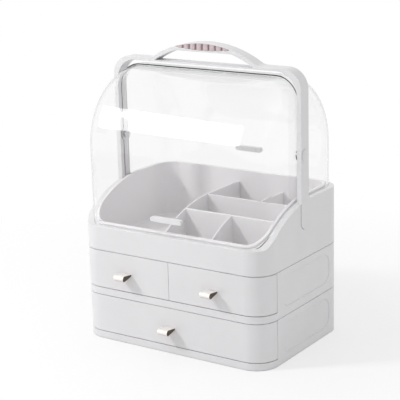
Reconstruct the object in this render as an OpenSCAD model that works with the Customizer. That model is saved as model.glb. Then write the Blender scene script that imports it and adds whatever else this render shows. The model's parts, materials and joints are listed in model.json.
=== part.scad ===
// Makeup organizer: three stacked tiers with drawers, an open tray under two clear
// covers that turn on one axis, and a fixed carrying handle over them.
// Origin: centre of the base on the surface it stands on. +Z up, front towards -Y.

/* [Case] */
// Width of the case, left to right
case_w = 300; // [280:5:340]
// Depth of the case, front to back
case_d = 210; // [200:5:250]
// Radius of the upright corners of the case
corner_r = 32; // [26:1:36]
// Thickness of the outer walls
wall_t = 2.6; // [2.2:0.1:3.2]
// Thickness of each tier's floor
floor_t = 2.6; // [2.2:0.1:3.6]
// Height of the strip below each row of drawers
strip_h = 10.3; // [8:0.1:14]
// Height of each row of drawers
bay_h = 54.2; // [50:0.2:70]
// Height of the groove that parts one tier from the next
seam_h = 0.5; // [0.4:0.1:1.5]
// Depth of the groove that parts one tier from the next
seam_d = 0.4; // [0.3:0.1:1]
// Depth of the relief panel on each side
relief_d = 0.7; // [0.3:0.1:1]
// Corner radius of the relief panel
relief_r = 16; // [8:1:19]
// Height of the relief panel's lower edge above the strip
relief_foot = 2; // [1:0.5:5]
// Distance of the relief panel's upper edge below the top of the tier
relief_head = 10; // [5:0.5:11]
// Distance of the relief panel behind the round front corner
relief_front = 13; // [6:1:20]
// Distance of the relief panel in front of the round rear corner
relief_rear = 6; // [2:1:12]

/* [Drawers] */
// Thickness of the curved drawer fronts
front_t = 3; // [2.4:0.1:4]
// Gap below each drawer front and behind its ends
front_gap = 0.9; // [0.4:0.1:1.2]
// Gap above each drawer front
front_top_gap = 0.3; // [0.3:0.1:1]
// Gap between the two upper drawer fronts
split_gap = 0.4; // [0.4:0.1:1.4]
// Wall thickness of the drawer boxes
box_t = 2.2; // [1.8:0.1:3]
// Height of the drawer boxes
box_h = 44; // [30:1:48]
// Corner radius of the drawer boxes
box_r = 24; // [20:1:26]
// Space between a drawer box and the case's side wall
side_space = 9.4; // [9:0.2:12]
// Space behind a drawer box
back_space = 5.4; // [4:0.2:12]
// Thickness of the wall between the upper drawers
centre_t = 2.6; // [2:0.1:4]
// Space between that wall and each upper drawer box
centre_space = 2.7; // [2:0.1:6]
// Thickness of the ribs that the drawers run on
runner_t = 2.4; // [1.8:0.1:4]
// Distance of the outer ribs from the side of a drawer box
runner_in = 14; // [8:1:20]

/* [Pulls] */
// Width of a pull
pull_w = 16; // [12:0.5:24]
// How far a pull stands out from the drawer front
pull_out = 19; // [16:0.5:26]
// Radius of the pull's round nose
pull_nose_r = 4; // [3:0.1:5]
// Thickness of the pull where it meets the front
pull_neck_t = 2.6; // [2.4:0.1:4]
// How far the nose hangs below the neck
pull_drop = 1; // [0:0.1:2]
// Distance of the upper pulls from the middle of the case
pull_x = 70; // [50:1:100]
// Radius of the two pegs behind a pull
peg_r = 1.1; // [0.8:0.05:1.15]
// Distance between the two pegs
peg_gap = 9; // [7:0.5:10]
// Radius of the washer pushed on each peg
washer_r = 3.4; // [2.6:0.1:4]
// Thickness of the washers
washer_t = 1; // [0.8:0.1:1.6]
// Play of the pegs in their holes
peg_play = 0.15; // [0.05:0.05:0.2]

/* [Tray] */
// Height of the tray shell's ledge at the front
ledge_front_h = 34; // [30:1:44]
// Height of the tray shell's ledge at the back
ledge_rear_h = 80; // [70:1:90]
// Distance from the front of the case to the foot of the ledge's sweep
sweep_start = 13; // [13:1:20]
// Place of the sweep's top, behind the middle of the case
sweep_end = 23; // [12:1:26]
// Radius of the hollow at the foot of the sweep
sweep_fillet_r = 15; // [8:1:16]
// Thickness of the ledge
ledge_t = 2.4; // [2:0.1:3.4]
// Height of the liner's lip above the ledge
lip_h = 3.4; // [2:0.1:4]
// Width of the liner's lip
lip_w = 4; // [3:0.1:5]
// Space between the lip and the sides of the front cover
lip_gap = 1; // [0.8:0.1:2]
// Space between the lip and the front of the front cover
lip_front_gap = 4; // [1:0.1:5]
// Wall and floor thickness of the liner
liner_t = 2.2; // [1.8:0.1:2.8]
// Height of the liner above the tray shell's floor
liner_up = 0.4; // [0.3:0.1:1]
// Thickness of the wall behind the handle's arms
channel_wall = 2.6; // [2.2:0.1:3]

/* [Dividers] */
// Thickness of the dividers
divider_t = 2.2; // [1.6:0.1:3]
// Place of the long divider, left of the middle
divider_x = -12; // [-40:1:10]
// Place of the two short dividers, right of the middle
short_x = 62; // [40:1:90]
// Place of the front cross divider
cross_front_y = -42; // [-54:1:-30]
// Place of the rear cross divider
cross_rear_y = 12; // [0:1:30]
// Height of the dividers at the front, above the tray's foot
divider_front_h = 36; // [30:1:36]
// Height of the dividers at the back, above the tray's foot
divider_rear_h = 66; // [54:1:72]
// Height of the rear short divider, above the tray's foot
short_rear_h = 59; // [40:1:66]
// Gap between the dividers and the liner
divider_gap = 0.4; // [0.3:0.1:0.8]

/* [Covers] */
// Thickness of the clear covers
cover_t = 1.4; // [1.2:0.1:1.8]
// Radius of the covers' rounded edges, outside
cover_edge_r = 33.4; // [30:0.2:36]
// Gap between the front cover and the rear cover round it
nest_gap = 0.6; // [0.5:0.1:1]
// Gap between the rear cover and the edge of the case, front to back
cover_inset = 1.6; // [1.2:0.1:3]
// Gap between the covers' lower edges and the ledge
cover_rest = 0.4; // [0.3:0.1:0.6]
// How far each cover reaches past the middle, under or over the other
cover_lap = 4; // [2:0.5:6]
// Height of the pivots above the ledge at the back
pivot_up = 61; // [58:1:66]
// Radius of the ears round the pivots
ear_r = 9; // [8:0.5:9.5]
// Width of the front cover's tab
front_tab_w = 50; // [30:1:60]
// Height of the front cover's tab
front_tab_h = 6.5; // [6:0.5:11]
// Height of the front cover's tab above the front ledge
front_tab_up = 24; // [16:1:40]
// Width of the rear cover's tab
rear_tab_w = 44; // [30:1:60]
// Height of the rear cover's tab
rear_tab_h = 7; // [6:0.5:11]
// Height of the rear cover's tab above the rear ledge
rear_tab_up = 32; // [16:1:40]
// How far the tabs stand out
tab_out = 6; // [4:0.5:8]
// Radius of the hollow for a fingertip under the tabs
tab_hollow_r = 4.2; // [3.2:0.1:4.8]
// Radius of the two pegs that hold a tab
tab_peg_r = 1.5; // [1.2:0.1:2]
// Distance between a tab's two pegs
tab_peg_gap = 24; // [16:1:26]

/* [Pivots] */
// Radius of the pivot pins
pin_r = 3; // [2.4:0.1:3.6]
// Running gap between a pin and the covers
pin_fit = 0.08; // [0.05:0.01:0.1]
// Radius of the pins' inner heads
pin_head_r = 5; // [4.6:0.1:6]
// Thickness of the pins' inner heads
pin_head_t = 1.4; // [1.2:0.1:1.6]
// Radius of the caps on the outside of the arms
cap_r = 8.5; // [6:0.1:9]
// Thickness of the caps
cap_t = 1.8; // [1.4:0.1:2.4]
// How much thinner the pins' ends in the caps are than the pins
pin_step = 1; // [0.6:0.1:1.2]

/* [Handle] */
// Thickness of the handle's arms
arm_t = 7; // [5.5:0.1:8]
// Width of the handle, front to back
arm_w = 19.5; // [17:0.5:22]
// How far the arms stand out past the sides of the case
arm_proud = 1; // [0.6:0.1:2.4]
// Gap between the rear cover and the arms
arm_gap = 0.6; // [0.5:0.1:1]
// Depth to which the arms reach down beside the tray, below the rear ledge
arm_down = 39; // [34:1:44]
// Gap between the covers and the handle's bar
bar_gap = 5.6; // [3:0.1:7]
// Thickness of the bar
bar_t = 4.6; // [3.6:0.1:6]
// Radius of the frame's inner corners
frame_r = 30; // [27:0.5:34]
// Radius of the frame's outer corners
frame_outer_r = 28; // [26:0.5:36]
// Height of the arch above the bar
arch_h = 25.4; // [24:0.1:34]
// Half of the arch's span
arch_half = 86; // [82:1:92]
// Thickness of the arch
arch_t = 5.6; // [5:0.1:7]
// Radius of the hollow where the arch meets the bar
arch_fillet_r = 20; // [12:1:24]
// Thickness of the thin bar under the finger opening
thin_bar_t = 2; // [1.6:0.1:3]
// Height of the solid part of the arch behind the grip
grip_zone_h = 12.4; // [12:0.2:13]

/* [Grip] */
// Half of the grip insert's length
grip_half = 43; // [36:1:50]
// Thickness of the handle above the grip insert
grip_skin = 1.2; // [1:0.1:2]
// How far the insert's lower edge bulges
grip_sag = 2.8; // [1.5:0.1:2.8]
// Distance between the grip's ribs
rib_pitch = 10.4; // [8:0.2:13]
// How far the ribs stand out of the handle
rib_out = 1; // [0.5:0.1:1.6]
// Depth of the creases between the ribs
crease_d = 1.5; // [1:0.1:2]

/* [Fasteners] */
// Radius of the screws' shanks
screw_r = 1.5; // [1.2:0.1:1.7]
// Radius of the screws' heads
screw_head_r = 2.8; // [2.4:0.1:3]
// Thickness of the screws' heads
screw_head_t = 2; // [1.4:0.1:2.4]
// Length of the tier screws below the head
tier_screw_l = 11; // [9:0.5:16]
// Radius of the screw bosses
boss_r = 4; // [3.6:0.1:4.2]
// How far the screw bosses run into the side walls
boss_sink = 0.6; // [0.4:0.1:1]
// Distance of the lower tier's front screws in front of the middle
front_boss_y = 45; // [38:1:48]
// Distance of the lower tier's rear screws behind the middle
rear_boss_y = 55; // [45:1:56]
// How far the upper tier's screws are moved back from the lower tier's
boss_shift = 15; // [11:1:16]
// Height of the lower screw above the centre of the arm's round end
arm_screw_up = 2; // [0:0.5:4]
// Distance between the two screws in each arm
arm_screw_gap = 16; // [12:0.5:17]
// Radius of the rubber pads
pad_r = 7; // [5:0.5:10]
// Thickness of the rubber pads
pad_t = 1.2; // [0.8:0.1:1.2]
// Distance of the pads from the case's sides
pad_in = 34; // [28:1:44]

/* [Hidden] */
$fn = 96;

// Small clearances: flat seats, pilot holes, and a cutter's reach past a face
seat = 0.2;
run_gap = 0.3;
snug = 0.05;
over = 1;

// Colours
white = [0.93, 0.92, 0.93];
inner_white = [0.9, 0.89, 0.9];
clear = [0.85, 0.9, 0.95, 0.35];
gold = [0.72, 0.62, 0.5];
pink = [0.74, 0.6, 0.63];
steel = [0.6, 0.6, 0.62];
grey = [0.55, 0.55, 0.56];

// Heights of the tiers
tier_h = strip_h + bay_h;
lower_z = 0;
middle_z = tier_h;
tray_z = 2 * tier_h;
half_w = case_w / 2;
half_d = case_d / 2;

// The side walls begin behind the rounded front corners
side_y = -half_d + corner_r;

// Levels and curve of the ledge, seen from the side
front_ledge_z = tray_z + ledge_front_h;
rear_ledge_z = tray_z + ledge_rear_h;
sweep_run = sweep_end + half_d - sweep_start;

// Plan sizes of the nested covers, from the handle's arms inwards
arm_in = half_w + arm_proud - arm_t;
arm_out = arm_in + arm_t;
rear_hw = arm_in - arm_gap;
front_hw = rear_hw - cover_t - nest_gap;
rear_cover_r = half_d - cover_inset;
front_cover_r = rear_cover_r - cover_t - nest_gap;
front_edge_r = cover_edge_r - cover_t - nest_gap;
pivot_z = rear_ledge_z + pivot_up;

// Plan size of the liner's lip, and the liner's wall inside its outline
lip_hw = front_hw - cover_t - lip_gap;
lip_hd = front_cover_r - cover_t - lip_front_gap;
lip_r = front_edge_r - cover_t - lip_gap;
liner_out = lip_w - liner_t;
shelf_in = liner_out - seat;

// Handle heights and the arch's circle
bar_in_z = pivot_z + rear_cover_r + bar_gap;
bar_out_z = bar_in_z + bar_t;
arch_r = arc_radius(arch_half, arch_h);
arch_z = bar_out_z + arch_h - arch_r;
arm_foot_z = rear_ledge_z - arm_down;

// Level at which the straight arms meet the frame's upper part, below its round corners
arm_top_z = bar_out_z - 2 * max(frame_r, frame_outer_r) - over;

// Inner face of the arms' channels in the tray shell
channel_in = arm_in - seat;

// Radii of the pins' thin ends and of the caps' domed faces
pin_end_r = pin_r - pin_step;
cap_dome_r = 5 * cap_r;

// Drawer boxes
box_hw = half_w - wall_t - side_space;
box_y0 = -half_d + front_t + seat;
box_y1 = half_d - wall_t - back_space;
upper_x0 = centre_t / 2 + centre_space;
box_foot = strip_h + run_gap;
pull_z = strip_h + bay_h / 2;

// Screw places
boss_x = half_w - wall_t - boss_r + boss_sink;
lower_boss_y = [-front_boss_y, rear_boss_y];
upper_boss_y = [boss_shift - front_boss_y, boss_shift + rear_boss_y];

// Radius of the arc that leaves a level tangent and falls by rise over run
function arc_radius(run, rise) = (run * run + rise * rise) / (2 * rise);

// Rectangle with round corners, centred
module round_rect(hw, hd, r) {
    square([2 * (hw - r), 2 * hd], center = true);
    square([2 * hw, 2 * (hd - r)], center = true);
    for (x = [-1, 1], y = [-1, 1]) translate([x * (hw - r), y * (hd - r)]) circle(r);
}

// Outline of the case, moved inwards by inset
module plan(inset = 0) {
    round_rect(half_w - inset, half_d - inset, corner_r - inset);
}

// Upright prism of the case's outline between two heights
module slab(inset, z0, z1) {
    translate([0, 0, z0]) linear_extrude(z1 - z0) plan(inset);
}

// Upright prism of the liner lip's outline, moved inwards by inset
module tray_slab(inset, z0, z1) {
    translate([0, 0, z0]) linear_extrude(z1 - z0)
        round_rect(lip_hw - inset, lip_hd - inset, lip_r - inset);
}

// A block between two corners
module block(low, high) {
    translate(low) cube(high - low);
}

// A shape drawn in depth and height, run along the width
module across(w) {
    rotate([90, 0, 90]) linear_extrude(w, center = true) children();
}

// A shape drawn in width and height, run along the depth
module along(d) {
    rotate([90, 0, 0]) linear_extrude(d, center = true) children();
}

// Round rod along X from x0 to x1
module rod_x(r, x0, x1) {
    translate([x0, 0, 0]) rotate([0, 90, 0]) cylinder(r = r, h = x1 - x0);
}

// Round rod along Y from y0 to y1
module rod_y(r, y0, y1) {
    translate([0, y1, 0]) rotate([90, 0, 0]) cylinder(r = r, h = y1 - y0);
}

// Both sides of the case
module both_sides() {
    children();
    mirror([1, 0, 0]) children();
}

// Side view of all that lies below a level, an arc and a higher level
module sweep_profile(y_end, z_low, z_high, run, fillet) {
    r = arc_radius(run, z_high - z_low);
    cz = z_high - r;
    fy = y_end - sqrt(pow(r + fillet, 2) - pow(z_low + fillet - cz, 2));
    ty = y_end - (y_end - fy) * r / (r + fillet);
    tz = cz + (z_low + fillet - cz) * r / (r + fillet);
    reach = case_d;
    translate([-reach, 0]) square([2 * reach, z_low]);
    translate([y_end, 0]) square([reach, z_high]);
    intersection() {
        translate([y_end, cz]) circle(r, $fn = 360);
        translate([y_end - run - over, z_low - over]) square([run + 2 * over, z_high]);
    }
    if (fillet > 0) difference() {
        polygon([[fy, z_low - snug], [ty, z_low - snug], [ty, tz], [fy, z_low]]);
        translate([fy, z_low + fillet]) circle(fillet);
    }
}

// Everything below the ledge's curve, raised by up
module below_ledge(up = 0) {
    across(2 * case_w) translate([0, up])
        sweep_profile(sweep_end, front_ledge_z, rear_ledge_z, sweep_run, sweep_fillet_r);
}

// Everything below the dividers' upper edges
module below_dividers() {
    across(2 * case_w)
        sweep_profile(cross_rear_y, tray_z + divider_front_h, tray_z + divider_rear_h,
            cross_rear_y + half_d - sweep_start, 0);
}

// Boss for a tier screw, with its pilot hole from the top
module boss(z0, z1) {
    difference() {
        translate([0, 0, z0]) cylinder(r = boss_r, h = z1 - z0);
        translate([0, 0, z1 - tier_screw_l]) cylinder(r = screw_r + snug, h = tier_screw_l + over);
    }
}

// Places on both sides of the case, at the given depths
module at_bosses(ys) {
    for (x = [-boss_x, boss_x], y = ys) translate([x, y, 0]) children();
}

// Ribs that a drawer runs on
module runners(xs) {
    for (x = xs)
        block([x - runner_t / 2, box_y0, floor_t - snug], [x + runner_t / 2, box_y1, strip_h]);
}

// Shallow panel sunk into both sides of a tier
module side_relief() {
    z0 = strip_h + relief_foot;
    z1 = tier_h - relief_head;
    y0 = side_y + relief_front;
    y1 = half_d - corner_r - relief_rear;
    both_sides() translate([half_w - relief_d, 0, 0]) rotate([90, 0, 90]) linear_extrude(over + relief_d)
        translate([(y0 + y1) / 2, (z0 + z1) / 2]) round_rect((y1 - y0) / 2, (z1 - z0) / 2, relief_r);
}

// Groove round a tier's foot, which parts it from what lies below
module seam_groove() {
    difference() {
        slab(-over, -over, seam_h);
        slab(seam_d, -2 * over, seam_h + over);
    }
}

// One tier: floor, strip round the front, side and rear walls up to the next tier
module tier(bosses) {
    difference() {
        slab(0, 0, tier_h);
        seam_groove();
        slab(wall_t, floor_t, tier_h + over);
        block([-case_w, -case_d, strip_h], [case_w, side_y + front_gap / 2, tier_h + over]);
        side_relief();
    }
    intersection() {
        slab(snug, 0, tier_h);
        at_bosses(bosses) boss(floor_t - snug, tier_h);
    }
}

// Holes for the screws of the tier below, through this tier's floor
module floor_holes(ys) {
    at_bosses(ys) translate([0, 0, -over]) cylinder(r = screw_r + seat, h = floor_t + 2 * over);
}

module at_pads() {
    for (x = [-1, 1], y = [-1, 1]) translate([x * (half_w - pad_in), y * (half_d - pad_in), 0]) children();
}

module lower_case() {
    third = (box_hw - runner_in) / 3;
    color(white) difference() {
        union() {
            tier(lower_boss_y);
            runners([-3 * third, -third, third, 3 * third]);
        }
        at_pads() translate([0, 0, -over]) cylinder(r = pad_r + seat, h = pad_t + snug + over);
    }
}

module middle_case() {
    inner = upper_x0 + runner_in;
    outer = box_hw - runner_in;
    color(white) translate([0, 0, middle_z]) difference() {
        union() {
            tier(upper_boss_y);
            runners([-outer, -inner, inner, outer]);
            block([-centre_t / 2, box_y0, floor_t - snug], [centre_t / 2, half_d - wall_t + snug, tier_h]);
        }
        floor_holes(lower_boss_y);
    }
}

// Side view of an arm up to a height, wider all round by gap
module arm_side(gap, top) {
    foot = arm_foot_z + arm_w / 2;
    translate([0, foot]) circle(arm_w / 2 + gap);
    translate([-arm_w / 2 - gap, foot]) square([arm_w + 2 * gap, top - foot]);
}

// Heights of the two screws in each arm
module at_arm_screws() {
    low = arm_foot_z + arm_w / 2 + arm_screw_up;
    for (z = [low, low + arm_screw_gap]) translate([0, 0, z]) children();
}

module tray_shell() {
    cut = channel_wall + wall_t;
    color(white) difference() {
        union() {
            difference() {
                intersection() {
                    slab(0, tray_z, rear_ledge_z + over);
                    below_ledge();
                }
                intersection() {
                    slab(wall_t, tray_z + floor_t, rear_ledge_z + over);
                    below_ledge(-ledge_t);
                }
                tray_slab(shelf_in, tray_z + floor_t, rear_ledge_z + 2 * over);
            }
            // thicker wall behind the arms' channels
            intersection() {
                both_sides() block([channel_in - channel_wall, -arm_w / 2 - cut, tray_z + floor_t - snug],
                    [half_w - wall_t + snug, arm_w / 2 + cut, rear_ledge_z]);
                below_ledge(-snug);
            }
        }
        // channels for the arms
        both_sides() intersection() {
            across(4 * case_w) arm_side(seat, pivot_z);
            block([channel_in, -case_d, tray_z], [case_w, case_d, rear_ledge_z + 2 * over]);
        }
        both_sides() at_arm_screws()
            rod_x(screw_r + seat, channel_in - channel_wall - over, channel_in + over);
        translate([0, 0, tray_z]) {
            floor_holes(upper_boss_y);
            seam_groove();
        }
    }
}

module tray_liner() {
    foot = tray_z + floor_t + liner_up;
    top = rear_ledge_z + lip_h + over;
    color(inner_white) difference() {
        intersection() {
            union() {
                tray_slab(liner_out, foot, top);
                difference() {
                    tray_slab(0, foot, top);
                    below_ledge(seat / 2);
                }
            }
            below_ledge(lip_h);
        }
        tray_slab(lip_w, foot + liner_t, top + over);
    }
}

module divider_insert() {
    foot = tray_z + floor_t + liner_up + liner_t + run_gap;
    top = rear_ledge_z;
    t = divider_t / 2;
    end_x = lip_hw - lip_w - divider_gap;
    end_y = lip_hd - lip_w - divider_gap;
    color(inner_white) intersection() {
        union() {
            block([divider_x - t, -end_y, foot], [divider_x + t, end_y, top]);
            for (y = [cross_front_y, cross_rear_y])
                block([divider_x, y - t, foot], [end_x, y + t, top]);
            block([short_x - t, -end_y, foot], [short_x + t, cross_front_y, top]);
            block([short_x - t, cross_rear_y, foot], [short_x + t, end_y, tray_z + short_rear_h]);
        }
        below_dividers();
    }
}

// Upper part of the handle seen from the front: round corners, arch and finger opening
module handle_outline() {
    fr = frame_outer_r;
    low = arm_top_z;
    difference() {
        union() {
            translate([-arm_out, low]) square([2 * arm_out, bar_out_z - fr - low]);
            translate([-arm_out + fr, low]) square([2 * (arm_out - fr), bar_out_z - low]);
            for (x = [-1, 1]) translate([x * (arm_out - fr), bar_out_z - fr]) circle(fr);
            intersection() {
                translate([0, arch_z]) circle(arch_r, $fn = 360);
                translate([-arch_half - over, bar_out_z - over]) square([2 * (arch_half + over), 2 * arch_h]);
            }
            arch_fillets();
        }
        translate([-arm_in, low - over]) square([2 * arm_in, bar_in_z - frame_r - low + over]);
        translate([-arm_in + frame_r, low - over]) square([2 * (arm_in - frame_r), bar_in_z - low + over]);
        for (x = [-1, 1]) translate([x * (arm_in - frame_r), bar_in_z - frame_r]) circle(frame_r);
        finger_opening();
        grip_lens(snug);
    }
}

// Hollows where the arch meets the bar
module arch_fillets() {
    fz = bar_out_z + arch_fillet_r;
    fx = sqrt(pow(arch_r + arch_fillet_r, 2) - pow(fz - arch_z, 2));
    k = arch_r / (arch_r + arch_fillet_r);
    for (x = [-1, 1]) difference() {
        polygon([[x * fx, bar_out_z - snug], [x * fx, bar_out_z], [x * fx * k, arch_z + (fz - arch_z) * k],
            [x * fx * k, bar_out_z - snug]]);
        translate([x * fx, fz]) circle(arch_fillet_r);
    }
}

// Opening for the fingers, under the arch and above the thin bar
module finger_opening() {
    low = bar_in_z + thin_bar_t;
    high = arch_z + arch_r - grip_zone_h;
    intersection() {
        translate([0, arch_z]) circle(arch_r - arch_t, $fn = 360);
        translate([-arch_half, low]) square([2 * arch_half, high - low]);
    }
}

// Lens shape of the grip insert, larger all round by gap
module grip_lens(gap = 0) {
    top_r = arch_r - grip_skin;
    tip_z = arch_z + sqrt(pow(top_r, 2) - pow(grip_half, 2));
    low_r = arc_radius(grip_half, grip_sag);
    intersection() {
        translate([0, arch_z]) circle(top_r + gap, $fn = 360);
        translate([0, tip_z - grip_sag + low_r]) circle(low_r + gap, $fn = 360);
    }
}

module handle_frame() {
    color(white) difference() {
        union() {
            along(arm_w) handle_outline();
            both_sides() translate([(arm_in + arm_out) / 2, 0, 0]) rotate([90, 0, 90])
                linear_extrude(arm_t, center = true) arm_side(0, arm_top_z + over);
        }
        both_sides() translate([0, 0, pivot_z]) rod_x(pin_r + snug, arm_in - over, arm_out + over);
        both_sides() at_arm_screws() rod_x(screw_r + snug, arm_in - over, arm_out - over);
    }
}

// Plan of the grip insert: round ribs side by side on both faces
module grip_plan() {
    count = ceil(grip_half / rib_pitch) + 1;
    bulge_r = arc_radius(rib_pitch / 2, crease_d);
    for (i = [-count:count - 1], side = [-1, 1])
        translate([(i + 0.5) * rib_pitch, side * (arm_w / 2 + rib_out - bulge_r)]) circle(bulge_r);
}

module grip_insert() {
    color(pink) intersection() {
        along(2 * arm_w) grip_lens();
        translate([0, 0, bar_out_z]) linear_extrude(2 * arch_h) grip_plan();
    }
}

module pivot_pins() {
    head_out = front_hw - cover_t - seat;
    color(steel) both_sides() translate([0, 0, pivot_z]) {
        rod_x(pin_head_r, head_out - pin_head_t, head_out);
        rod_x(pin_r, head_out - snug, arm_out);
        rod_x(pin_end_r, arm_out - snug, arm_out + cap_t / 2);
    }
}

module pivot_caps() {
    color(white) both_sides() translate([0, 0, pivot_z]) difference() {
        translate([arm_out, 0, 0]) rotate([0, 90, 0]) rotate_extrude() intersection() {
            square([cap_r, cap_t]);
            translate([0, cap_t - cap_dome_r]) circle(cap_dome_r, $fn = 360);
        }
        rod_x(pin_end_r + snug, arm_out - over, arm_out + cap_t / 2 + snug);
    }
}

module handle_screws() {
    seat_x = channel_in - channel_wall;
    color(steel) both_sides() at_arm_screws() {
        rod_x(screw_head_r, seat_x - screw_head_t, seat_x);
        rod_x(screw_r, seat_x - snug, arm_out - over - snug);
    }
}

// Screws of one joint between tiers, with their heads on the upper tier's floor
module tier_screw_set(z, ys) {
    at_bosses(ys) translate([0, 0, z + floor_t]) {
        cylinder(r = screw_head_r, h = screw_head_t);
        translate([0, 0, -tier_screw_l + snug]) cylinder(r = screw_r, h = tier_screw_l);
    }
}

module tier_screws() {
    color(steel) {
        tier_screw_set(middle_z, lower_boss_y);
        tier_screw_set(tray_z, upper_boss_y);
    }
}

module rubber_pads() {
    color(grey) at_pads() cylinder(r = pad_r, h = pad_t);
}

// Solid barrel on the pivot axis above, straight prism with the same plan below
module cover_body(hw, r, er) {
    intersection() {
        translate([0, 0, pivot_z]) rotate([0, 90, 0]) rotate_extrude($fn = 180) intersection() {
            round_rect(r, hw, er);
            translate([0, -2 * hw]) square([2 * r, 4 * hw]);
        }
        block([-case_w, -case_d, pivot_z - snug], [case_w, case_d, pivot_z + case_d]);
    }
    translate([0, 0, front_ledge_z - over]) linear_extrude(pivot_z - front_ledge_z + over)
        round_rect(hw, r, er);
}

// One hollow cover: all of it on one side of the middle, plus its ears
module cover(hw, r, er, front) {
    dir = front ? -1 : 1;
    y0 = front ? -case_d : -cover_lap;
    y1 = front ? cover_lap : case_d;
    difference() {
        cover_body(hw, r, er);
        cover_body(hw - cover_t, r - cover_t, er - cover_t);
        // what lies past the middle goes, apart from the ears
        difference() {
            block([-case_w, front ? y1 : -case_d, 0], [case_w, front ? case_d : y0, pivot_z + case_d]);
            translate([0, 0, pivot_z]) rod_x(ear_r, -case_w, case_w);
        }
        below_ledge(cover_rest);
        // room for the lower edge near the middle to swing over the ledge
        difference() {
            block([-case_w, -cover_lap - over, front_ledge_z], [case_w, ear_r, pivot_z]);
            translate([0, 0, pivot_z]) rod_x(pivot_up - over, -2 * case_w, 2 * case_w);
        }
        translate([0, 0, pivot_z]) rod_x(pin_r + pin_fit, -case_w, case_w);
    }
}

module at_tab_pegs() {
    for (x = [-tab_peg_gap / 2, tab_peg_gap / 2]) translate([x, 0, 0]) children();
}

// Bar with round ends and a hollow for a fingertip under it
module tab_bar(w, h) {
    end_r = h / 2 - snug;
    difference() {
        union() {
            translate([0, -tab_out, 0]) rotate([-90, 0, 0]) linear_extrude(tab_out)
                round_rect(w / 2, h / 2, end_r);
            at_tab_pegs() rod_y(tab_peg_r, -snug, cover_t - snug);
        }
        translate([0, -tab_out / 2, -h / 2 - tab_out / 2]) rod_x(tab_hollow_r, -w / 2 + h, w / 2 - h);
    }
}

// Holes for a tab's two pegs
module tab_holes() {
    at_tab_pegs() rod_y(tab_peg_r + snug, -over, cover_t + over);
}

module at_front_tab() {
    translate([0, -front_cover_r, front_ledge_z + front_tab_up]) children();
}

module at_rear_tab() {
    translate([0, rear_cover_r, rear_ledge_z + rear_tab_up]) rotate([0, 0, 180]) children();
}

module front_cover() {
    color(clear) difference() {
        cover(front_hw, front_cover_r, front_edge_r, true);
        at_front_tab() tab_holes();
    }
}

module rear_cover() {
    color(clear) difference() {
        cover(rear_hw, rear_cover_r, cover_edge_r, false);
        at_rear_tab() tab_holes();
    }
}

module front_cover_tab() {
    color(white) at_front_tab() tab_bar(front_tab_w, front_tab_h);
}

module rear_cover_tab() {
    color(white) at_rear_tab() tab_bar(rear_tab_w, rear_tab_h);
}

// Plan of the widest drawer box, moved inwards by inset
module box_plan(inset) {
    translate([0, (box_y0 + box_y1) / 2])
        round_rect(box_hw - inset, (box_y1 - box_y0) / 2 - inset, box_r - inset);
}

// Holes for a pull's pegs through the front and the box behind it
module peg_holes(x) {
    for (side = [-1, 1]) translate([x + side * peg_gap / 2, 0, pull_z - pull_neck_t / 2])
        rod_y(peg_r + peg_play, -case_d, box_y0 + box_t + over);
}

// Drawer box between x0 and x1, open at the top
module drawer_box(x0, x1, px) {
    translate([0, 0, box_foot]) difference() {
        intersection() {
            linear_extrude(box_h) box_plan(0);
            block([x0, -case_d, -over], [x1, case_d, box_h + over]);
        }
        intersection() {
            translate([0, 0, box_t]) linear_extrude(box_h) box_plan(box_t);
            block([x0 + box_t, -case_d, 0], [x1 - box_t, case_d, box_h + over]);
        }
        translate([0, 0, -box_foot]) peg_holes(px);
    }
}

// Curved drawer front between x0 and x1
module drawer_front(x0, x1, px) {
    difference() {
        slab(0, strip_h + front_gap, tier_h - front_top_gap);
        slab(front_t, 0, tier_h);
        block([-case_w, side_y - front_gap / 2, 0], [case_w, case_d, tier_h]);
        if (x0 > -half_w) block([-case_w, -case_d, 0], [x0, case_d, tier_h]);
        if (x1 < half_w) block([x1, -case_d, 0], [case_w, case_d, tier_h]);
        peg_holes(px);
    }
}

// Outline of two round ends joined by their outer tangents
module teardrop(a, ra, b, rb) {
    d = b - a;
    heading = atan2(d[1], d[0]);
    turn = acos((ra - rb) / norm(d));
    up = [cos(heading + turn), sin(heading + turn)];
    down = [cos(heading - turn), sin(heading - turn)];
    translate(a) circle(ra);
    translate(b) circle(rb);
    polygon([a + ra * up, a + ra * down, b + rb * down, b + rb * up]);
}

// Pull with its nose in front of the drawer and its two pegs through it
module pull(x) {
    neck = pull_neck_t / 2;
    translate([x, -half_d, pull_z - neck]) {
        intersection() {
            across(pull_w) teardrop([-pull_out + pull_nose_r, -pull_drop], pull_nose_r, [0, 0], neck);
            block([-pull_w, -2 * pull_out, -pull_out], [pull_w, 0, pull_out]);
        }
        for (side = [-1, 1]) translate([side * peg_gap / 2, 0, 0])
            rod_y(peg_r, -neck, box_y0 + half_d + box_t + seat + 2 * washer_t);
    }
}

// Washers pushed on the pegs inside the drawer
module pull_washers(x) {
    y0 = box_y0 + box_t + snug;
    for (side = [-1, 1]) translate([x + side * peg_gap / 2, 0, pull_z - pull_neck_t / 2]) difference() {
        rod_y(washer_r, y0, y0 + washer_t);
        rod_y(peg_r + snug, y0 - over, y0 + washer_t + over);
    }
}

module lower_drawer_box() {
    color(inner_white) translate([0, 0, lower_z]) drawer_box(-box_hw, box_hw, 0);
}

module lower_drawer_front() {
    color(white) translate([0, 0, lower_z]) drawer_front(-case_w, case_w, 0);
}

module lower_pull() {
    color(gold) translate([0, 0, lower_z]) pull(0);
}

module lower_pull_washers() {
    color(steel) translate([0, 0, lower_z]) pull_washers(0);
}

module left_drawer_box() {
    color(inner_white) translate([0, 0, middle_z]) drawer_box(-box_hw, -upper_x0, -pull_x);
}

module left_drawer_front() {
    color(white) translate([0, 0, middle_z]) drawer_front(-case_w, -split_gap / 2, -pull_x);
}

module left_pull() {
    color(gold) translate([0, 0, middle_z]) pull(-pull_x);
}

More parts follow.
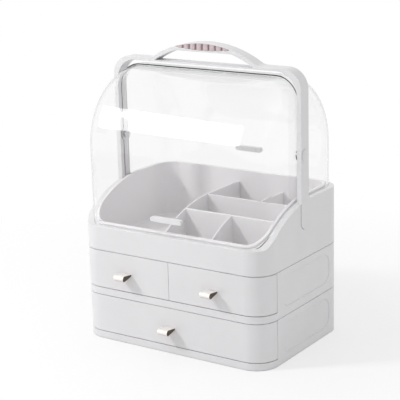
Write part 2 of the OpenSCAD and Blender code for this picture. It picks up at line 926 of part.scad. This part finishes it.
module left_pull_washers() {
    color(steel) translate([0, 0, middle_z]) pull_washers(-pull_x);
}

module right_drawer_box() {
    color(inner_white) translate([0, 0, middle_z]) drawer_box(upper_x0, box_hw, pull_x);
}

module right_drawer_front() {
    color(white) translate([0, 0, middle_z]) drawer_front(split_gap / 2, case_w, pull_x);
}

module right_pull() {
    color(gold) translate([0, 0, middle_z]) pull(pull_x);
}

module right_pull_washers() {
    color(steel) translate([0, 0, middle_z]) pull_washers(pull_x);
}

lower_case();
middle_case();
tray_shell();
tray_liner();
divider_insert();
handle_frame();
grip_insert();
pivot_pins();
pivot_caps();
handle_screws();
tier_screws();
rubber_pads();
front_cover();
front_cover_tab();
rear_cover();
rear_cover_tab();
lower_drawer_box();
lower_drawer_front();
lower_pull();
lower_pull_washers();
left_drawer_box();
left_drawer_front();
left_pull();
left_pull_washers();
right_drawer_box();
right_drawer_front();
right_pull();
right_pull_washers();
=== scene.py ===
import json
import math

import bmesh
import bpy
from mathutils import Matrix, Vector


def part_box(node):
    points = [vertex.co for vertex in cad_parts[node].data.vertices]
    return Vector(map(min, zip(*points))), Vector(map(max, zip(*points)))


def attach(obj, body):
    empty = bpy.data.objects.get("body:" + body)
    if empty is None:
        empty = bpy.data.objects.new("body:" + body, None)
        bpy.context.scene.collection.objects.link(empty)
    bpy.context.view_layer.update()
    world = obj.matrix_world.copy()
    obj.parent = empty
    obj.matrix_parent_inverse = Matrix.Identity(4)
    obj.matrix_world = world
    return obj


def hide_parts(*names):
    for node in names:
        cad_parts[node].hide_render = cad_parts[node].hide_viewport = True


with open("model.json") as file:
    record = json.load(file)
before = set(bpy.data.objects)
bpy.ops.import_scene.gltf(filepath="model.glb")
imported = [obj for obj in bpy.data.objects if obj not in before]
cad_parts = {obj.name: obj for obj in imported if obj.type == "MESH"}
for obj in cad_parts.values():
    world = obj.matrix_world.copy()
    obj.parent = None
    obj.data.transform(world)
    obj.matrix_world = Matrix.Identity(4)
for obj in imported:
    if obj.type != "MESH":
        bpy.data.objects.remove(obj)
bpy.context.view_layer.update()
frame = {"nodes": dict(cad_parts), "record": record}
scene = bpy.context.scene
MM = 0.001

# Which body each CAD node belongs to, and the finish its piece takes
BEHAVIOUR = frame["record"]["behaviour"]
JOINTS = BEHAVIOUR["joints"]
BODY_OF = {node: body for body, nodes in BEHAVIOUR["bodies"].items() for node in nodes}
SLOT_OF = {part["node"]: part["material_slot"] for part in frame["record"]["subparts"]}
DRAWERS = ("lower", "left", "right")
FRONTS = [drawer + "_drawer_front" for drawer in DRAWERS]
COVERS = ("front_cover", "rear_cover")

# Camera, fitted to the photograph's straight lines and round corners
CAMERA_AZIMUTH = math.radians(33.88)
CAMERA_ELEVATION = math.radians(15.5)
CAMERA_ROLL = math.radians(-1.47)
CAMERA_DISTANCE = 1.7977
CAMERA_AIM = Vector((0, 0, 0.18))
CAMERA_LENS = 116.9
CAMERA_SHIFT = (-0.0257, 0.0176)

# Light: a key lamp to the upper left, a wide soft box there that only mirrors show, a weaker
# panel on the right, and a surround a little brighter overhead and darker to the front right
SURROUND, SKY_RISE = 0.70, 0.2
DIP_AZIMUTH, DIP = math.radians(45), 0.12
KEY_AZIMUTH, KEY_ELEVATION = math.radians(-43), math.radians(36)
KEY_DISTANCE, KEY_SIZE, KEY_POWER = 1.6, (0.22, 0.22), 10.5
BOX_AZIMUTH, BOX_ELEVATION = math.radians(-40.7), math.radians(29.5)
BOX_SIZE, BOX_POWER = (0.93, 0.69), 8.6
FILL_AZIMUTH, FILL_ELEVATION = math.radians(105), math.radians(25)
FILL_DISTANCE, FILL_SIZE, FILL_POWER = 1.8, (1.2, 1.2), 1.4
LIGHT_AIM = Vector((0, 0, 0.2))

# Sizes that the frame's boxes don't give
CASE_CORNER_R = 32 * MM
FRONT_T = 3 * MM
REAR_COVER_EDGE_R = 33.4 * MM
COVER_T = 1.4 * MM
GRIP_PITCH = 10.4 * MM

# Rounded edges of the pieces, in millimetres
ROUNDINGS = {
    "lower_case": 0.5, "middle_case": 0.5, "tray_shell": 0.6, "tray_liner": 1.0,
    "divider_insert": 0.6, "handle_frame": 0.5, "grip_insert": 0.2, "pivot_caps": 0.25,
    "front_cover_tab": 0.2, "rear_cover_tab": 0.05,
}
BOX_ROUNDING, FRONT_ROUNDING, PULL_ROUNDING = 0.5, 0.5, 0.35
ROUNDING_STEPS, ROUNDING_ANGLE = 3, math.radians(32)

# How finely arcs are divided, and how meshes are cleaned before their edges are rounded
ARC_STEPS = 24
MERGE_DISTANCE, FLAT_ANGLE = 0.001 * MM, math.radians(0.2)

# A corner of a cover's mesh takes the round face's direction where it lies this close to that
# face and its own face leans this little away from it
ON_FACE, LEAN = 0.05 * MM, 0.85

# The floor turns plain white between these distances from the object
FLOOR_SIZE = 12
FLOOR_FADE = (0.25, 0.7)
FLOOR_WHITE = 0.55

# The part of a noise's range that holds most of its values
NOISE_MIDDLE = (0.3, 0.7)


class Nodes:
    """A short way to add and join the nodes of one material or world."""

    def __init__(self, tree):
        self.tree = tree
        tree.nodes.clear()

    def add(self, kind, inputs=None, **settings):
        node = self.tree.nodes.new(kind)
        for key, value in settings.items():
            setattr(node, key, value)
        for key, value in (inputs or {}).items():
            if isinstance(value, bpy.types.NodeSocket):
                self.tree.links.new(value, node.inputs[key])
            else:
                node.inputs[key].default_value = value
        return node

    def maths(self, operation, a, b=0.0):
        return self.add("ShaderNodeMath", {0: a, 1: b}, operation=operation).outputs[0]

    def noise(self, where, scale, detail=2.0, rough=0.5):
        values = {"Vector": where, "Scale": scale, "Detail": detail, "Roughness": rough}
        return self.add("ShaderNodeTexNoise", values).outputs["Fac"]

    def span(self, value, low, high, to_low=0.0, to_high=1.0):
        """A value between low and high, mapped to to_low and to_high and held at its ends."""
        spans = {"Value": value, "From Min": low, "From Max": high, "To Min": to_low, "To Max": to_high}
        return self.add("ShaderNodeMapRange", spans).outputs[0]

    def spread(self, noise, low, high):
        """The middle of a noise's range, mapped to low and high."""
        return self.span(noise, *NOISE_MIDDLE, low, high)

    def blend(self, factor, a, b):
        node = self.add("ShaderNodeMix", data_type="RGBA")
        for socket, value in ((node.inputs[0], factor), (node.inputs[6], a), (node.inputs[7], b)):
            if isinstance(value, bpy.types.NodeSocket):
                self.tree.links.new(value, socket)
            else:
                socket.default_value = value
        return node.outputs[2]

    def bump(self, height, depth, strength=1.0, normal=None):
        values = {"Height": height, "Distance": depth, "Strength": strength}
        if normal is not None:
            values["Normal"] = normal
        return self.add("ShaderNodeBump", values).outputs[0]


def colour(r, g, b):
    """An sRGB colour of 0 to 255 as the linear values that a shader takes."""
    def linear(c):
        c = c / 255
        return c / 12.92 if c <= 0.04045 else ((c + 0.055) / 1.055) ** 2.4
    return (linear(r), linear(g), linear(b), 1)


def new_material(name):
    material = bpy.data.materials.new(name)
    material.use_nodes = True
    nodes = Nodes(material.node_tree)
    place = nodes.add("ShaderNodeTexCoord").outputs["Object"]
    return material, nodes, place


def close(nodes, shader):
    nodes.add("ShaderNodeOutputMaterial", {"Surface": shader})


def moulded(name, light, dark, gloss):
    """Moulded plastic: a slight cloudiness in colour and gloss, and the mould's fine grain."""
    material, nodes, place = new_material(name)
    cloud = nodes.noise(place, 16, 3)
    fine = nodes.noise(place, 2600, 2)
    base = nodes.blend(nodes.spread(cloud, 0, 1), light, dark)
    rough = nodes.spread(nodes.noise(place, 60, 3), gloss[0], gloss[1])
    waves = nodes.bump(nodes.noise(place, 22, 1), 0.2 * MM, 0.35)
    shader = nodes.add("ShaderNodeBsdfPrincipled", {
        "Base Color": base,
        "Roughness": rough,
        "Normal": nodes.bump(fine, 0.03 * MM, 0.5, waves),
        "IOR": 1.5,
    })
    close(nodes, shader.outputs[0])
    return material


def clear_plastic(name):
    """Clear moulded plastic: a faint tint of its own, with painted shade deepening it where it is seen
    edge on, and hair-fine marks. Lamps pass straight through to what the covers shut in."""
    material, nodes, place = new_material(name)
    # Painted shade: the tint darkens steeply where the surface is seen edge on
    facing = nodes.add("ShaderNodeLayerWeight", {"Blend": 0.5}).outputs["Facing"]
    edge = nodes.maths("POWER", nodes.span(facing, 0.62, 1.0), 1.6)
    tint = nodes.blend(edge, (0.976, 0.976, 0.978, 1), (0.22, 0.23, 0.24, 1))
    glass = nodes.add("ShaderNodeBsdfPrincipled", {
        "Base Color": tint,
        "Roughness": nodes.spread(nodes.noise(place, 90, 3), 0.0, 0.03),
        "IOR": 1.49,
        "Transmission Weight": 1.0,
        "Normal": nodes.bump(nodes.noise(place, 9, 1), 0.4 * MM, 0.12),
    })
    straight = nodes.add("ShaderNodeBsdfTransparent", {"Color": (0.985, 0.985, 0.985, 1)})
    path = nodes.add("ShaderNodeLightPath").outputs
    lit = nodes.maths("MAXIMUM", path["Is Shadow Ray"], path["Is Diffuse Ray"])
    mixed = nodes.add("ShaderNodeMixShader", {0: lit, 1: glass.outputs[0], 2: straight.outputs[0]})
    close(nodes, mixed.outputs[0])
    return material


def plated(name):
    """Satin plated metal with fine polishing lines along its width: pale, with painted shade making it
    warmer and darker underneath and a painted dark reflection on its end faces."""
    material, nodes, place = new_material(name)
    normal = nodes.add("ShaderNodeTexCoord").outputs["Normal"]
    parts = nodes.add("ShaderNodeSeparateXYZ", {0: normal}).outputs
    # Painted shade: faces turned down blend to a darker, warmer colour
    above = nodes.span(parts["Z"], -0.95, -0.35)
    # Painted reflection: end faces turned along X blend to a dark colour
    ends = nodes.span(nodes.maths("ABSOLUTE", parts["X"]), 0.5, 0.9)
    stretched = nodes.add("ShaderNodeMapping", {"Vector": place, "Scale": (40, 2200, 2200)}).outputs[0]
    lines = nodes.noise(stretched, 1, 3)
    base = nodes.blend(above, colour(170, 144, 120), colour(244, 240, 236))
    base = nodes.blend(nodes.spread(lines, 0, 0.14), base, colour(196, 184, 172))
    base = nodes.blend(ends, base, colour(84, 73, 60))
    shader = nodes.add("ShaderNodeBsdfPrincipled", {
        "Base Color": base,
        "Metallic": 0.35,
        "Roughness": nodes.spread(lines, 0.36, 0.5),
        "Normal": nodes.bump(lines, 0.02 * MM, 0.6),
    })
    close(nodes, shader.outputs[0])
    return material


def soft_grip(name, pitch):
    """Soft rubber with a matt grain, and painted shade darkening the creases between the ribs."""
    material, nodes, place = new_material(name)
    # Painted shade: the colour darkens towards the creases between the ribs, one every pitch along X
    x = nodes.add("ShaderNodeSeparateXYZ", {0: place}).outputs["X"]
    across = nodes.maths("FRACT", nodes.maths("DIVIDE", x, pitch))
    ridge = nodes.maths("ABSOLUTE", nodes.maths("SUBTRACT", across, 0.5))
    painted_crease_shade = nodes.maths("MULTIPLY", nodes.span(ridge, 0.26, 0.48), 0.9)
    cloud = nodes.spread(nodes.noise(place, 300, 3), 0, 1)
    base = nodes.blend(cloud, colour(205, 186, 189), colour(191, 171, 175))
    # Painted crease shade: a dark colour laid into the creases
    base = nodes.blend(painted_crease_shade, base, colour(96, 78, 82))
    shader = nodes.add("ShaderNodeBsdfPrincipled", {
        "Base Color": base,
        "Roughness": nodes.spread(nodes.noise(place, 700, 2), 0.5, 0.66),
        "Normal": nodes.bump(nodes.noise(place, 3200, 2), 0.05 * MM, 0.6),
        "Sheen Weight": 0.15,
        "Sheen Roughness": 0.5,
    })
    close(nodes, shader.outputs[0])
    return material


def bright_steel(name):
    """Plain steel with fine turning marks."""
    material, nodes, place = new_material(name)
    marks = nodes.noise(place, 1800, 3)
    shader = nodes.add("ShaderNodeBsdfPrincipled", {
        "Base Color": nodes.blend(nodes.spread(marks, 0, 1), (0.62, 0.62, 0.64, 1), (0.48, 0.48, 0.5, 1)),
        "Metallic": 1.0,
        "Roughness": nodes.spread(marks, 0.22, 0.38),
        "Normal": nodes.bump(marks, 0.02 * MM, 0.4),
    })
    close(nodes, shader.outputs[0])
    return material


def matt_rubber(name):
    """Grey rubber with a dusty, pitted face."""
    material, nodes, place = new_material(name)
    pits = nodes.noise(place, 1500, 4, 0.7)
    shader = nodes.add("ShaderNodeBsdfPrincipled", {
        "Base Color": nodes.blend(nodes.spread(pits, 0, 1), (0.2, 0.2, 0.205, 1), (0.13, 0.13, 0.135, 1)),
        "Roughness": nodes.spread(nodes.noise(place, 400, 2), 0.7, 0.85),
        "Normal": nodes.bump(pits, 0.1 * MM, 0.7),
    })
    close(nodes, shader.outputs[0])
    return material


MATERIALS = {
    "case_white": moulded("case_white", (0.728, 0.72, 0.732, 1), (0.702, 0.694, 0.706, 1), (0.34, 0.42)),
    "inner_white": moulded("inner_white", (0.81, 0.795, 0.805, 1), (0.785, 0.77, 0.78, 1), (0.4, 0.5)),
    "clear_plastic": clear_plastic("clear_plastic"),
    "grip_pink": soft_grip("grip_pink", GRIP_PITCH),
    "pull_gold": plated("pull_gold"),
    "steel": bright_steel("steel"),
    "rubber_grey": matt_rubber("rubber_grey"),
}


def dress(piece, node):
    """Gives a piece that stands for a CAD node its material, its body and its finish."""
    piece.data.materials.clear()
    piece.data.materials.append(MATERIALS[SLOT_OF[node]])
    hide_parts(node)
    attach(piece, BODY_OF[node])
    return piece


def finished(node, width):
    """A copy of a CAD node as it leaves the mould, with flat faces joined and edges rounded."""
    bm = bmesh.new()
    bm.from_mesh(frame["nodes"][node].data)
    bmesh.ops.remove_doubles(bm, verts=bm.verts, dist=MERGE_DISTANCE)
    bmesh.ops.dissolve_limit(bm, angle_limit=FLAT_ANGLE, verts=bm.verts, edges=bm.edges)
    return rounded(node, bm, width)


def smooth_piece(node, bm):
    """A new piece from a bmesh, shaded smooth, without the normals that came with the CAD."""
    for face in bm.faces:
        face.smooth = True
    mesh = bpy.data.meshes.new(node + "_finished")
    bm.to_mesh(mesh)
    bm.free()
    if "custom_normal" in mesh.attributes:
        mesh.attributes.remove(mesh.attributes["custom_normal"])
    piece = bpy.data.objects.new(node + "_finished", mesh)
    scene.collection.objects.link(piece)
    return piece


def rounded(node, bm, width):
    """A piece from a bmesh with rounded edges."""
    piece = smooth_piece(node, bm)
    rounding = piece.modifiers.new("rounding", "BEVEL")
    rounding.width = width
    rounding.segments = ROUNDING_STEPS
    rounding.limit_method = "ANGLE"
    rounding.angle_limit = ROUNDING_ANGLE
    rounding.use_clamp_overlap = False
    rounding.miter_outer = "MITER_SHARP"
    shading = piece.modifiers.new("shading", "WEIGHTED_NORMAL")
    shading.keep_sharp = False
    return dress(piece, node)


def drawer_front(node, width):
    """A drawer front as one curved sheet that follows the case's outline from end to end."""
    low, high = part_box(node)
    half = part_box("lower_case")[1].x
    path = []
    centre_y = low.y + CASE_CORNER_R
    stop = math.asin((centre_y - high.y) / CASE_CORNER_R) if high.y > low.y + FRONT_T else 0
    for side, x in ((-1, low.x), (1, high.x)):
        if abs(x) > half - CASE_CORNER_R:
            steps = [stop + (math.pi / 2 - stop) * i / ARC_STEPS for i in range(ARC_STEPS + 1)]
            arc = [Vector((side * math.cos(a), -math.sin(a), 0)) for a in steps]
            centre = Vector((side * (half - CASE_CORNER_R), centre_y, 0))
            points = [(centre + CASE_CORNER_R * out, out) for out in arc]
        else:
            points = [(Vector((x, low.y, 0)), Vector((0, -1, 0)))]
        path += points if side < 0 else points[::-1]
    bm = bmesh.new()
    rings = []
    for point, out in path:
        inner = point - FRONT_T * out
        corners = ((point, low.z), (point, high.z), (inner, high.z), (inner, low.z))
        rings.append([bm.verts.new((p.x, p.y, z)) for p, z in corners])
    for a, b in zip(rings, rings[1:]):
        for i in range(4):
            bm.faces.new((a[i], a[(i + 1) % 4], b[(i + 1) % 4], b[i]))
    bm.faces.new(rings[0])
    bm.faces.new(rings[-1])
    bmesh.ops.recalc_face_normals(bm, faces=bm.faces)
    return rounded(node, bm, width)


def cover_normal(point, pivot, half, radius, edge):
    """How far a point lies outside a cover's outer face, and that face's outward direction there."""
    above = max(point.z - pivot, 0)
    away = math.hypot(point.y, above)
    qx, qr = abs(point.x) - (half - edge), away - (radius - edge)
    if qx > 0 and qr > 0:
        depth = math.hypot(qx, qr)
        gx, gr = qx / depth, qr / depth
        depth -= edge
    else:
        depth = max(qx, qr) - edge
        gx, gr = (1, 0) if qx > qr else (0, 1)
    out = Vector((math.copysign(gx, point.x), gr * point.y / away, gr * above / away))
    return depth, out


def cover(node):
    """A clear cover with the true direction of its round faces at every corner of its mesh."""
    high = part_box(node)[1]
    edge = REAR_COVER_EDGE_R - (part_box("rear_cover")[1].x - high.x)
    pivot = next(joint for joint in JOINTS if joint["name"] == node + "_hinge")["pos_m"][2]
    bm = bmesh.new()
    bm.from_mesh(frame["nodes"][node].data)
    bmesh.ops.remove_doubles(bm, verts=bm.verts, dist=MERGE_DISTANCE)
    piece = smooth_piece(node, bm)
    mesh = piece.data
    normals = [None] * len(mesh.loops)
    for face in mesh.polygons:
        for i in face.loop_indices:
            point = mesh.vertices[mesh.loops[i].vertex_index].co
            depth, out = cover_normal(point, pivot, high.x, high.z - pivot, edge)
            if depth < -COVER_T / 2:
                out = -out
            on_face = min(abs(depth), abs(depth + COVER_T)) < ON_FACE
            normals[i] = out if on_face and out.dot(face.normal) > LEAN else face.normal.copy()
    mesh.normals_split_custom_set(normals)
    return dress(piece, node)


for drawer in DRAWERS:
    ROUNDINGS[drawer + "_drawer_box"] = BOX_ROUNDING
    ROUNDINGS[drawer + "_pull"] = PULL_ROUNDING
for name, width in ROUNDINGS.items():
    finished(name, width * MM)
for name in FRONTS:
    drawer_front(name, FRONT_ROUNDING * MM)
for name in COVERS:
    cover(name)

# The other pieces keep the CAD's own mesh
for name, node in frame["nodes"].items():
    if name not in (*ROUNDINGS, *FRONTS, *COVERS):
        node.data.materials.clear()
        node.data.materials.append(MATERIALS[SLOT_OF[name]])


def toward(azimuth, elevation):
    """Direction from the object, 0 towards the front and positive to its right."""
    return Vector((math.sin(azimuth) * math.cos(elevation), -math.cos(azimuth) * math.cos(elevation),
                   math.sin(elevation)))


def panel_lamp(name, azimuth, elevation, distance, size, power):
    lamp = bpy.data.lights.new(name, "AREA")
    lamp.shape = "RECTANGLE"
    lamp.size, lamp.size_y = size
    lamp.energy = power
    obj = bpy.data.objects.new(name, lamp)
    scene.collection.objects.link(obj)
    way = toward(azimuth, elevation)
    obj.location = LIGHT_AIM + distance * way
    obj.rotation_euler = way.to_track_quat("Z", "Y").to_euler()
    return obj


key = panel_lamp("key", KEY_AZIMUTH, KEY_ELEVATION, KEY_DISTANCE, KEY_SIZE, KEY_POWER)
key.visible_glossy = False
soft_box = panel_lamp("soft_box", BOX_AZIMUTH, BOX_ELEVATION, KEY_DISTANCE, BOX_SIZE, BOX_POWER)
soft_box.visible_diffuse = False
fill = panel_lamp("fill", FILL_AZIMUTH, FILL_ELEVATION, FILL_DISTANCE, FILL_SIZE, FILL_POWER)
fill.visible_glossy = False


def seen_directly(nodes):
    """1 for what the camera sees itself, in a mirror image or through glass, and 0 for other rays."""
    path = nodes.add("ShaderNodeLightPath").outputs
    seen = nodes.maths("MAXIMUM", path["Is Camera Ray"], path["Is Glossy Ray"])
    seen = nodes.maths("MAXIMUM", seen, path["Is Transmission Ray"])
    return nodes.maths("MULTIPLY", seen, nodes.maths("LESS_THAN", path["Diffuse Depth"], 0.5))


def make_world():
    world = bpy.data.worlds.new("surround")
    world.use_nodes = True
    nodes = Nodes(world.node_tree)
    way = nodes.add("ShaderNodeTexCoord").outputs["Generated"]
    height = nodes.add("ShaderNodeSeparateXYZ", {0: way}).outputs["Z"]
    sky = nodes.maths("ADD", nodes.maths("MULTIPLY", height, SKY_RISE), SURROUND)
    aside = nodes.add("ShaderNodeVectorMath", {0: way, 1: toward(DIP_AZIMUTH, 0)}, operation="DOT_PRODUCT")
    dip = nodes.maths("MULTIPLY", nodes.maths("MAXIMUM", aside.outputs["Value"], 0.0), DIP)
    sky = nodes.maths("SUBTRACT", sky, dip)
    strength = nodes.span(seen_directly(nodes), 0.0, 1.0, sky, 1.0)
    background = nodes.add("ShaderNodeBackground", {"Color": (1, 1, 1, 1), "Strength": strength})
    nodes.add("ShaderNodeOutputWorld", {"Surface": background.outputs[0]})
    scene.world = world


def make_floor():
    """A pale floor that shows as plain white away from the object and keeps a light shadow near it."""
    half = FLOOR_SIZE / 2
    mesh = bpy.data.meshes.new("floor")
    corners = [(-half, -half, 0), (half, -half, 0), (half, half, 0), (-half, half, 0)]
    mesh.from_pydata(corners, [], [(0, 1, 2, 3)])
    floor = bpy.data.objects.new("floor", mesh)
    scene.collection.objects.link(floor)
    material, nodes, place = new_material("floor_white")
    away = nodes.add("ShaderNodeVectorMath", {0: place}, operation="LENGTH").outputs["Value"]
    white = nodes.span(away, *FLOOR_FADE, FLOOR_WHITE, 1.0)
    paint = nodes.add("ShaderNodeBsdfPrincipled", {
        "Base Color": nodes.blend(nodes.noise(place, 5), (0.9, 0.9, 0.9, 1), (0.88, 0.88, 0.88, 1)),
        "Roughness": 0.9,
        "Specular IOR Level": 0.1,
    })
    plain = nodes.add("ShaderNodeEmission", {"Color": (1, 1, 1, 1), "Strength": 1.0})
    share = nodes.maths("MULTIPLY", white, seen_directly(nodes))
    mixed = nodes.add("ShaderNodeMixShader", {0: share, 1: paint.outputs[0], 2: plain.outputs[0]})
    close(nodes, mixed.outputs[0])
    mesh.materials.append(material)


def make_camera():
    back = toward(CAMERA_AZIMUTH, CAMERA_ELEVATION)
    right = Vector((math.cos(CAMERA_AZIMUTH), math.sin(CAMERA_AZIMUTH), 0))
    up = back.cross(right)
    c, s = math.cos(CAMERA_ROLL), math.sin(CAMERA_ROLL)
    turned = Matrix((c * right + s * up, c * up - s * right, back)).transposed().to_4x4()
    data = bpy.data.cameras.new("camera")
    data.lens = CAMERA_LENS
    data.sensor_width = 36
    data.shift_x, data.shift_y = CAMERA_SHIFT
    camera = bpy.data.objects.new("camera", data)
    scene.collection.objects.link(camera)
    camera.matrix_world = Matrix.Translation(CAMERA_AIM + CAMERA_DISTANCE * back) @ turned
    scene.camera = camera


make_world()
make_floor()
make_camera()
scene.view_settings.view_transform = "Standard"
